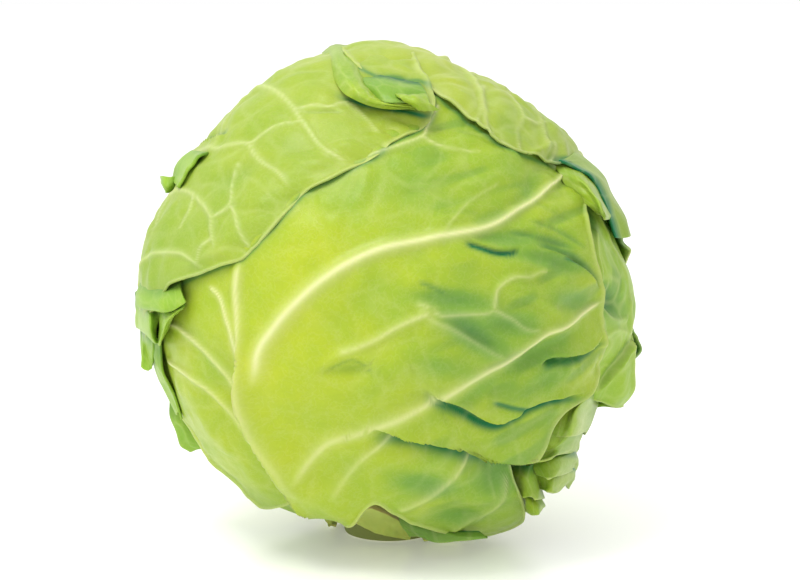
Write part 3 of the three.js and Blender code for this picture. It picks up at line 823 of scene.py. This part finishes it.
def left_crown_leaf():
    """The leaf over the upper left, whose ragged front margin lies on the front leaf."""
    sheet = Sheet(
        "left_crown_leaf", (-105, 15), 8.6, 13.4,
        [[0, 51], [4, 56], [7, 60], [10, 65], [16, 68], [20, 70], [25, 72], [30, 74], [35, 79], [41, 84],
         [46, 88], [51, 90], [57, 94], [62, 95], [68, 93], [76, 87], [90, 80], [115, 72], [140, 66],
         [165, 60], [190, 58], [215, 60], [235, 66], [255, 82], [264, 90], [273, 78], [286, 48],
         [305, 39], [320, 37], [336, 39], [348, 43], [355, 46]],
        [[24, -4, 24, 4.6], [22, 42, 20, 3.6], [10, 56, 14, 2.2]], cells=206)
    rumple(sheet, 30, 0.9, 31)
    net(sheet, 16, 0.3, 0.8, 37, 0.2)
    vein(sheet, [[-7, -74], [-9, -50], [-10, -20], [-9, 10], [-6, 40], [-2, 66]], (6, 2.2), 3.0, (0.4, 0.8))
    for points in (
            [[-9, 2], [6, 10], [16, 20], [24, 26], [31, 30], [38, 36], [43, 36], [48, 36], [54, 37],
             [61, 36]],
            [[-8, 22], [4, 36], [14, 44], [23, 48], [30, 50], [36, 51], [40, 51], [46, 51], [54, 51],
             [63, 54]],
            [[-10, -14], [2, -8], [12, 2], [20, 10], [28, 15], [36, 17], [45, 17], [49, 16], [53, 12],
             [57, 9]],
            [[-10, -28], [6, -22], [20, -12], [32, -2], [43, 3], [48, 4], [55, 3]],
            [[-10, -2], [-24, 10], [-38, 20], [-52, 24]],
            [[-9, 18], [-22, 32], [-34, 44], [-44, 52]],
            [[-10, -24], [-26, -16], [-40, -8], [-54, -6]],
            [[-9, -42], [-24, -38], [-38, -32], [-50, -28]]):
        vein(sheet, points, (2.2, 1.3), 1.1, (0.6, 0.5), 0.8)
    for points in (
            [[39, 36], [39, 40], [40, 47], [43, 52]],
            [[36, 51], [38, 56], [40, 59], [39, 64], [46, 66], [54, 67]],
            [[36, 17], [39, 13], [40, 8]],
            [[49, 16], [51, 22], [45, 27], [41, 32]],
            [[51, 22], [56, 20], [59, 18], [64, 15]],
            [[53, 12], [51, 8], [52, 3]],
            [[18, 20], [22, 10], [28, 4]], [[14, 42], [20, 34], [28, 29]],
            [[-24, 10], [-26, 24], [-30, 38]], [[-26, -16], [-30, -2], [-38, 8]]):
        vein(sheet, points, (1.3, 1.0), 0.6, (0.6, 0.45), 0.5)
    fold(sheet, [[38, 53], [40, 56], [41, 59], [43, 62]], 0.7, 0.6, 2, 0.3, 0.1)
    # The shadow of the folded corner's flap, painted on this leaf along a shallow crease.
    groove(sheet, [[34, 61], [37.5, 64], [40.5, 68], [42.5, 72], [44, 77], [44.5, 82], [44, 88]],
           0.3, 2.6, 1.0)
    fold(sheet, [[28, 34], [24, 30], [18, 26], [13, 18], [11, 12]], 1.8, 1.6, 4, 1.6, 0.8)
    for values in (
            (44, 28, 8, 4, 60, -1.2, 0.3), (34, 26, 8, 4, 30, 0.8), (48, 44, 9, 4, 20, -0.9, 0.2),
            (44, 74, 14, 6, -20, -0.8, 0.1), (60, 28, 8, 4, 90, 0.8)):
        dent(sheet, *values)
    press(sheet, -4, 66, 2.2, 0.88)
    ruffle(sheet, 2, 60, 4.0, 0.5, 0.08, 43, 0.2)
    ruffle(sheet, 100, 235, 5.5, 0.8, 0.12, 45, 0.2, 0.15)
    margin_lip(sheet, 0.8)
    sheet.green += 0.15 + 0.5 * smoothstep(30, -20, sheet.y) * smoothstep(10, 40, sheet.x)
    sheet.green -= 0.35 * smoothstep(30, 75, sheet.y)
    sheet.points = sheet.place()
    return sheet


def left_crown_frills():
    """The crumpled lower front margin: three overlapping lobes, two hanging strips, a rolled edge."""
    for number, rows in enumerate((
            [[[-89, 0, 88], [-88, -10, 86], [-83, -24, 87], [-79, -33, 88]],
             [[-89, 0, 82], [-88, -12, 82], [-82, -34, 85], [-79, -32, 83]],
             [[-89, -2, 77], [-88, -14, 77], [-82, -33, 79], [-80, -30, 78]],
             [[-87, -3, 76], [-86, -14, 75], [-81, -31, 75], [-79, -31, 75]]],
            [[[-78, -35, 88], [-75, -43, 89], [-72, -46, 90], [-69, -48, 92]],
             [[-79, -34, 84], [-76, -45, 86], [-73, -49, 88], [-70, -50, 90]],
             [[-79, -32, 80], [-77, -42, 82], [-75, -45, 84], [-73, -45, 86]],
             [[-80, -27, 74], [-79, -35, 75], [-77, -38, 78], [-75, -36, 81]]],
            [[[-85, -12, 96], [-78, -34, 96], [-75, -37, 97], [-71, -41, 99]],
             [[-88, -14, 90], [-79, -42, 92], [-74, -47, 94], [-70, -48, 96]],
             [[-88, -16, 86], [-78, -45, 89], [-73, -50, 90], [-68, -53, 93]],
             [[-86, -18, 86], [-78, -38, 87], [-74, -43, 88], [-70, -46, 91]]],
            [[[-87, -4, 78], [-87, -12, 77], [-84, -24, 78], [-82, -26, 76]],
             [[-87, -6, 72], [-87, -14, 71], [-85, -16, 71], [-82, -25, 71]],
             [[-86, -8, 67], [-87, -14, 66], [-85, -15, 66], [-83, -20, 66]],
             [[-86, -8, 63], [-87, -14, 63], [-85, -16, 62], [-83, -16, 63]]],
            [[[-84, -10, 76], [-83, -18, 76], [-81, -26, 76], [-79, -30, 76]],
             [[-83, -6, 66], [-83, -15, 66], [-81, -24, 67], [-79, -27, 65]],
             [[-81, -6, 59], [-81, -15, 59], [-79, -23, 61], [-77, -26, 59]],
             [[-78, -8, 54], [-79, -15, 54], [-77, -22, 56], [-75, -25, 54]],
             [[-75, -8, 46], [-75, -15, 46], [-74, -20, 48], [-73, -23, 46]]])):
        frill(f"left_crown_frill_{number + 1}", SIDE_BLADE, "left_crown_leaf", rows,
              seed=20 + number, tail=0 if number == 1 else 16)
    frill("left_crown_rolled_edge", SIDE_BLADE, "left_crown_leaf",
          [[[-62, -22, 140], [-66, 0, 139], [-67, 9, 137]],
           [[-65, -24, 139], [-69, -1, 138], [-70, 8, 136]],
           [[-67, -22, 136], [-72, -1, 136], [-73, 8, 134]],
           [[-69, -23, 134], [-74, -2, 133], [-75, 7, 131]],
           [[-71, -22, 131], [-75, -2, 130], [-76, 7, 128]],
           [[-73, -22, 128], [-76, -2, 127], [-77, 6, 125]]],
          24, 24, seed=31, tuck=0.4, edge_highlight=(0, 0), tail=14)
    frill("left_crown_torn_curl", SIDE_BLADE, "left_crown_leaf",
          [[[-72, 5, 129], [-72, 4, 126], [-72, 5, 122]],
           [[-76, -2, 129], [-76, -5, 126], [-77, -2, 123]],
           [[-79, -2, 129], [-79, -5, 126], [-79, -2, 123]],
           [[-81, 5, 128], [-81, 4, 126], [-79, 5, 123]]],
          16, 16, seed=30)


def right_crown_leaf():
    """The uppermost leaf, over the top and the right back, its front corner folded over."""
    sheet = Sheet(
        "right_crown_leaf", (150, 25), 11, 13.6,
        [[0, 62], [20, 64], [45, 64], [66, 62], [78, 68], [86, 78], [93, 83], [97, 84], [103, 82],
         [109, 81], [114, 82], [120, 83], [126, 84], [132, 84], [137, 82], [141, 78], [145, 74],
         [149, 68], [155, 63], [162, 60], [170, 59], [177, 59], [200, 56], [218, 56], [235, 64],
         [255, 88], [266, 98], [276, 92], [290, 66], [310, 54], [335, 56]],
        [[-50, -12, 20, -2.6], [14, 62, 20, 1.6], [-16, 52, 18, -2.4]], cells=206)
    rumple(sheet, 30, 0.9, 51)
    net(sheet, 16, 0.3, 0.8, 57, 0.2)
    vein(sheet, [[0, -84], [1, -56], [0, -28], [-2, 0], [-4, 28], [-8, 56]], (6, 2.2), 3.0, (0.4, 0.8))
    for side in (-1, 1):
        for level in (-46, -22, 0, 22, 44):
            vein(sheet, [[0, level], [side * 14, level + 7], [side * 30, level + 15],
                         [side * 46, level + 21], [side * 60, level + 23]],
                 (2.2, 1.3), 1.1, (0.7, 0.5), 0.8)
    for points in (
            [[-30, 56], [-35, 61], [-42, 65], [-48, 70]],
            [[-34, 50], [-40, 50], [-46, 51], [-52, 55], [-60, 56]],
            [[-46, 51], [-47, 46], [-44, 40]],
            [[-52, 40], [-57, 41], [-62, 44]],
            [[-14, 36], [-16, 46], [-24, 56]], [[14, 30], [18, 42], [16, 54]],
            [[-30, 16], [-34, 26], [-44, 30]], [[30, -4], [34, 8], [30, 18]]):
        vein(sheet, points, (1.3, 1.0), 0.6, (0.7, 0.45), 0.4)
    ridge(sheet, [[-52, 40], [-57, 46], [-61, 52]], 1.6, 2.4)
    dent(sheet, -52, 56, 8, 4, 60, -1.0, 0.1)
    dent(sheet, -30, 70, 12, 4, 10, 0.8, -0.1)
    press(sheet, 88, 178, 3.2, 0.7)
    ruffle(sheet, 112, 150, 3.5, 0.5, 0.07, 61, 0.2)
    ruffle(sheet, 145, 190, 6.0, 0.5, 0.06, 67, 0.3, 0.2)
    ruffle(sheet, 180, 235, 3.0, 0.9, 0.12, 63, 0.3, 0.15)
    ruffle(sheet, 300, 70, 5.5, 0.8, 0.12, 65, 0.2, 0.1)
    margin_lip(sheet, 0.8)
    sheet.green += 0.25 - 0.9 * bell(np.hypot(sheet.x + 15, sheet.y - 66), 26)
    # Painted shade along the margin between these bearings, where the edge lies in shadow.
    _, edge = span_of(sheet, 142, 186)
    sheet.deep = np.maximum(sheet.deep, 0.8 * edge * smoothstep(0.92, 0.965, sheet.share))
    sheet.points = sheet.place()
    return sheet


def low_left_frill():
    """The low left leaf's margin, where it bends out from behind the front leaf."""
    frill("low_left_bent_margin", SIDE_BLADE, "low_left_leaf",
          [[[-72, -8, 52], [-76, -5, 50], [-78, 0, 48]],
           [[-72, -9, 45], [-76, -7, 43], [-78, -1, 43]],
           [[-70, -10, 39], [-74, -8, 39], [-76, -2, 38]],
           [[-67, -11, 35], [-72, -8, 34], [-74, -3, 33]],
           [[-64, -11, 33], [-68, -9, 32], [-71, -3, 31]]],
          24, 24, seed=60, tuck=0.3, edge_highlight=(0, 0.5), tail=12)


def right_crown_frills():
    """The uppermost leaf's front corner, folded over in a band, with a greener flap behind it that is
    darkened by painted shade.
    """
    frill("right_crown_folded_corner", FRONT_BLADE, "right_crown_leaf",
          [[[-11, 18, 173], [-15, 12, 174], [-20, 12, 174], [-24, 14, 171]],
           [[-9, -6, 170], [-13, -16, 172], [-18, -18, 172], [-21, -14, 169]],
           [[-8, -24, 167], [-11, -32, 168], [-15, -34, 168], [-18, -31, 165]],
           [[-7, -31, 164], [-9, -40, 165], [-12, -43, 165], [-15, -40, 162]],
           [[-5, -34, 163], [-7, -44, 163], [-9, -47, 162], [-11, -44, 160]],
           [[-3, -36, 162], [-4, -45, 161], [-5, -48, 160], [-6, -45, 158]],
           [[2, -40, 160], [1, -47, 159], [1, -49, 159], [1, -46, 157]],
           [[9, -42, 159], [9, -46, 158], [9, -48, 158], [9, -45, 157]]],
          seed=40, tuck=0.1, edge_highlight=(0, 0), tone=0.7)
    # Its inner row, under the leaf's margin, carries the painted shade beneath that margin.
    frill("right_crown_margin_band", CROWN_BLADE, "right_crown_leaf",
          [[[58, -28, 138], [64, -25, 135], [69, -22, 132], [73, -19, 126], [76, -17, 119], [79, -14, 109]],
           [[61, -22, 138], [66, -17, 135], [72, -14, 131], [76, -11, 125], [79, -11, 118], [82, -9, 108]],
           [[65, -5, 138], [71, 0, 134], [76, -1, 129], [79, -2, 122], [83, -4, 115], [85, -5, 108]],
           [[65, 9, 136], [71, 12, 132], [76, 11, 127], [80, 10, 120], [84, 8, 113], [86, 5, 107]]],
          seed=43, tuck=1.0, edge_highlight=(0, 0), base=0.1)
    # The flap's tucked row, and more faintly all of it, lie in painted shade.
    frill("right_crown_inner_flap", SIDE_BLADE, "right_crown_leaf",
          [[[-10, -20, 167], [-3, -28, 167], [4, -31, 166], [10, -31, 165]],
           [[-9, -31, 166], [-2, -38, 166], [4, -40, 165], [12, -38, 163]],
           [[-8, -37, 164], [-2, -44, 163], [5, -45, 162], [13, -41, 161]],
           [[-6, -41, 161], [-1, -48, 160], [5, -48, 160], [12, -43, 159]]],
          seed=42, tuck=1.0, edge_highlight=(0, 0.3), tone=0.9, base=0.22)
    frill("right_crown_torn_lip", FRONT_BLADE, "right_crown_leaf",
          [[[1, -41, 162], [7, -42, 162], [12, -38, 162]],
           [[3, -48, 162], [8, -49, 162], [13, -44, 162]],
           [[5, -49, 160], [9, -52, 160], [14, -48, 159]],
           [[8, -46, 158], [11, -50, 157], [17, -47, 157]]],
          20, 20, seed=41, tuck=0.2, edge_highlight=(0, 0.5))


def right_side_leaf():
    """The leaf behind the front leaf's right margin, with a bulging lower lobe."""
    sheet = Sheet(
        "right_side_leaf", (82, -8), 4.2, 10,
        [[0, 13], [30, 17], [60, 32], [90, 42], [120, 38], [150, 34], [180, 31], [200, 28], [222, 23],
         [242, 19], [256, 18], [268, 18], [277, 18], [285, 20], [293, 25], [300, 40], [306, 62], [313, 66],
         [320, 48], [327, 28], [336, 16]],
        [[9, 2, 18, 7.5], [2, -16, 10, 10]], cells=150)
    rumple(sheet, 22, 0.7, 71)
    sheet.out -= 3.0 * smoothstep(-19, -27, sheet.x)
    net(sheet, 12, 0.2, 0.5, 73, 0.3)
    vein(sheet, [[14, -52], [8, -34], [3, -16], [0, 2], [-2, 24], [-4, 38]], (3.4, 1.4), 1.6, (0.4, 0.6))
    vein(sheet, [[-19, 10], [-14, 5.5], [-9, 3.5], [-2, 3]], (1.5, 1.0), 1.0, (0.45, 0.3))
    vein(sheet, [[-18, 0], [-9, 1], [0, -1]], (1.4, 1.0), 0.7, (0.35, 0.3))
    vein(sheet, [[-12, 27], [-15, 23], [-17, 18], [-18, 12]], (1.5, 1.0), 1.2, (0.5, 0.35))
    for values in (
            (-14, 9, 8, 3, -25, -2.8, 2.8), (-13, 31, 4, 4, 0, -0.6, 2.6), (-10, 14, 9, 4, 0, 0.8),
            (-12, -3, 7, 3, 10, 0.8, -0.3)):
        dent(sheet, *values)
    fold(sheet, [[4, -1], [0, -4], [-5, -7], [-9, -11], [-12, -15]], 1.6, 1.4, 4, 0.4, 0.35)
    vein(sheet, [[3, -1], [-1, -4], [-6, -7], [-10, -11], [-12, -15]], (1.2, 1.0), 0.3, (0.5, 0.4))
    dent(sheet, -4, -13, 3, 6, 0, 1.4, -0.5)
    wrinkle(sheet, 70, 9, 3.6, 0.2, 213, 1)
    margin_lip(sheet, 0.6)
    sheet.green += 0.3
    sheet.points = sheet.place()
    return sheet


def low_leaf(name, centre, lift, foot, outline, swells, seed, green):
    """A leaf that is mostly under others, with a midrib and paired side veins."""
    sheet = Sheet(name, centre, lift, foot, outline, swells, cells=130)
    rumple(sheet, 22, 0.6, seed)
    net(sheet, 13, 0.2, 0.5, seed + 2, 0.3)
    vein(sheet, [[-1, -46], [0, -22], [1, 0], [0, 26]], (4, 1.6), 2.0, (0.4, 0.7))
    for side in (-1, 1):
        for level in (-24, -8, 8):
            vein(sheet, [[0, level], [side * 10, level + 7], [side * 24, level + 15]], (1.6, 1.0), 0.9,
                 (0.6, 0.5), 0.4)
    ruffle(sheet, 160, 235, 2.4, 0.8, 0.16, seed + 4, 0.3, 0)
    ruffle(sheet, 320, 60, 2.6, 1.0, 0.16, seed + 6, 0.3, 0)
    margin_lip(sheet, 0.6)
    sheet.green += green
    sheet.points = sheet.place()
    return sheet


def wrapper_leaves():
    """All seven, each shaded along the margins of the leaves that lie on it."""
    front, left, right, side = front_leaf(), left_crown_leaf(), right_crown_leaf(), right_side_leaf()
    far_right = low_leaf("far_right_leaf", (118, -18), 2, 6,
                         [[0, 34], [40, 42], [90, 40], [120, 28], [150, 21], [180, 22], [200, 20],
                          [225, 18], [248, 19], [262, 28], [272, 52], [284, 48], [310, 34], [335, 32]],
                         [[-20, 2, 11, 15], [-18, -13, 8, 13]], 81, 0.9)
    # Painted shade where this leaf lies in the shadow of the right side leaf.
    shade_under_side_leaf = bell(np.hypot(far_right.x + 22, far_right.y + 2), 14)
    far_right.deep = np.maximum(far_right.deep, 0.75 * shade_under_side_leaf)
    low_left = low_leaf("low_left_leaf", (-68, -28), 3.6, 8.8,
                        [[0, 36], [30, 40], [60, 42], [90, 44], [120, 42], [150, 38], [180, 34],
                         [205, 32], [230, 34], [252, 42], [265, 46], [280, 40], [300, 30], [330, 34]],
                        [[-12, -4, 18, 2.6]], 91, 0.5)
    back = low_leaf("back_leaf", (-158, -16), 4.4, 10,
                    [[0, 34], [30, 42], [60, 50], [90, 56], [120, 52], [150, 46], [180, 40], [205, 34],
                     [232, 34], [255, 48], [268, 56], [280, 48], [300, 30], [330, 28]], [], 101, 0.4)
    finish_leaf(right, CROWN_BLADE)
    finish_leaf(left, CROWN_BLADE, [right])
    finish_leaf(front, FRONT_BLADE, [left, right])
    finish_leaf(side, SIDE_BLADE, [front, right])
    finish_leaf(far_right, SIDE_BLADE, [side, right])
    finish_leaf(low_left, SIDE_BLADE, [front, left])
    finish_leaf(back, SIDE_BLADE, [left, right])


# ---------------------------------------------------------------------------------------------
# The heart, the stem and the stubs
# ---------------------------------------------------------------------------------------------

def heart():
    """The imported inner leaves: a ball with the veins of its outermost leaf, flat underneath."""
    bm = bmesh.new()
    bmesh.ops.create_icosphere(bm, subdivisions=6, radius=1)
    mesh, direction = mesh_of(bm, "heart")
    longitude = np.degrees(np.arctan2(direction[:, 0], -direction[:, 1]))
    latitude = np.degrees(np.arcsin(np.clip(direction[:, 2], -1, 1)))
    x, y = longitude * ARC * np.cos(np.radians(latitude)), latitude * ARC
    line = bell(net_distance(x, y, 18, 5), 1.2)
    radius = heart_radius(direction[:, 2]) - 1.2 + 0.4 * line + 0.5 * noise(x, y, 30, 7)
    points = direction * radius[:, None]
    points[:, 2] = np.maximum(points[:, 2] + HEAD_CENTRE_Z, HEART_FLAT_Z)
    move_vertices(mesh, points)
    add_attributes(mesh, vein=0.5 * line, green=0.3, deep=0, margin=0)
    add_uv(mesh, x * MM + 0.5, y * MM + 0.5)
    show(mesh, "heart_leaves", HEART_BLADE, "heart")


def stump():
    """The cut stem: a profile spun round the axis, its sides slightly uneven above the cut face."""
    _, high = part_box("cut_stem")
    flare, top = high.x, high.z
    cut = flare * 0.68  # the stem's radius at the cut face
    profile = [(0, 0), (cut * 0.5, 0), (cut - 0.0012, 0), (cut - 0.0003, 0.0003), (cut, 0.0012),
               (cut + 0.0005, 0.004), (cut + 0.0009, 0.0078), (cut + 0.0035, 0.0105),
               (flare - 0.0018, 0.0135), (flare - 0.0003, top - 0.002), (flare, top), (0, top)]
    bm = bmesh.new()
    ring = [bm.verts.new((r, 0, z)) for r, z in profile]
    edges = [bm.edges.new(pair) for pair in zip(ring, ring[1:])]
    bmesh.ops.spin(bm, geom=ring + edges, cent=(0, 0, 0), axis=(0, 0, 1), angle=2 * math.pi, steps=96,
                   use_merge=True)
    bmesh.ops.remove_doubles(bm, verts=bm.verts[:], dist=1e-5)
    bmesh.ops.recalc_face_normals(bm, faces=bm.faces[:])
    for vert in bm.verts:
        turn = math.atan2(vert.co.y, vert.co.x)
        if vert.co.z > 0.003 and vert.co.xy.length > 0.01:
            vert.co.xy *= 1 + 0.012 * math.sin(5 * turn) + 0.008 * math.sin(11 * turn + 1)
    mesh, _ = mesh_of(bm, "stump")
    show(mesh, "cut_stem_stump", STUMP_FIBRE, "cut_stem")


STUB_THICKNESS = 2.4
STUB_FOOT = [(-0.5, 1.0), (0.5, 1.0)]
STUB_CUT = [(-0.5, 4.0), (-0.3, 5.1), (0, 5.8), (0.3, 5.0), (0.5, 4.1)]
STUBS = [  # node, longitude, width, distance from the axis, outward lean, lower edge, cut upper edge
    ("cut_leaf_stub_front_left", -4, 17, 20.5, 16, [(-0.5, 8.5), (-0.2, 5), (0.5, 2)],
     [(-0.5, 10.5), (-0.4, 13.5), (-0.12, 18), (0.2, 11.5), (0.5, 3.5)]),
    ("cut_leaf_stub_front_right", 66, 25, 21.5, 5, STUB_FOOT, STUB_CUT),
    ("cut_leaf_stub_back", 165, 26, 20.5, 4, STUB_FOOT, STUB_CUT),
    ("cut_leaf_stub_left", -118, 20, 20.5, 4, STUB_FOOT, STUB_CUT),
]


def stub(node, longitude, width, out, lean, lower, upper):
    """A trimmed leaf base: a curved plate whose edges' heights, in mm, vary over its width."""
    mesh, places = grid_mesh(node, 60, 16, 0.5)
    side, rise, _ = places.T
    rise = rise + 0.5
    around = np.radians(longitude) + side * width / out
    foot = np.interp(side, *np.transpose(lower))
    cut = np.interp(side, *np.transpose(upper)) + 0.5 * noise(side * 9, side * 0, 1, int(out * 7 + width))
    height = foot + rise * (cut - foot)
    tallest = max(value for _, value in upper)
    uneven = 0.35 * noise(side * 12, rise * 3, 1, 9)
    radius = out + STUB_THICKNESS / 2 + lean * (height / tallest) ** 2 + uneven
    points = np.stack([radius * np.sin(around), -radius * np.cos(around), height], -1)
    move_vertices(mesh, points)
    add_attributes(mesh, cut=0.7 * smoothstep(0.93, 1, rise))
    show(mesh, node + "_flesh", STUB_FLESH, node, STUB_THICKNESS)


# ---------------------------------------------------------------------------------------------
# Camera, light and floor
# ---------------------------------------------------------------------------------------------

def studio():
    """A pale floor, soft light from above and all round, and the camera."""
    scene = bpy.context.scene
    scene.view_settings.view_transform = "Standard"
    scene.world = bpy.data.worlds.new("studio")
    scene.world.use_nodes = True
    background = scene.world.node_tree.nodes["Background"]
    background.inputs["Color"].default_value = (1, 1, 1, 1)
    background.inputs["Strength"].default_value = 1.0

    bpy.ops.mesh.primitive_plane_add(size=6)
    floor = bpy.context.object
    floor.name = "floor"
    white, _, shader = new_material("white_acrylic_floor")
    shader.inputs["Base Color"].default_value = colour("#FAFAFA")
    shader.inputs["Roughness"].default_value = 0.22
    shader.inputs["Emission Color"].default_value = colour("#FFFFF4")
    shader.inputs["Emission Strength"].default_value = 0.22
    floor.data.materials.append(white)

    for name, place, size, power in (
            ("overhead", (-0.4, -0.35, 1.15), 0.5, 8.0),
            ("left_front", (-1.0, -0.9, 0.7), 0.8, 1.5)):
        data = bpy.data.lights.new(name, "AREA")
        data.size = size
        data.energy = power
        lamp = bpy.data.objects.new(name, data)
        lamp.location = place
        lamp.rotation_euler = (Vector((0, 0, 0.09)) - Vector(place)).to_track_quat("-Z", "Y").to_euler()
        scene.collection.objects.link(lamp)

    data = bpy.data.cameras.new("camera")
    data.sensor_width = 36
    data.lens = 114
    camera = bpy.data.objects.new("camera", data)
    aim = Vector((0.0038, 0, HEAD_CENTRE_Z * MM))
    rise, distance = math.radians(10), 0.9
    camera.location = aim + distance * Vector((0, -math.cos(rise), math.sin(rise)))
    camera.rotation_euler = (aim - camera.location).to_track_quat("-Z", "Y").to_euler()
    scene.collection.objects.link(camera)
    scene.camera = camera


wrapper_leaves()
front_frills()
left_crown_frills()
low_left_frill()
right_crown_frills()
heart()
stump()
for row in STUBS:
    stub(*row)
studio()
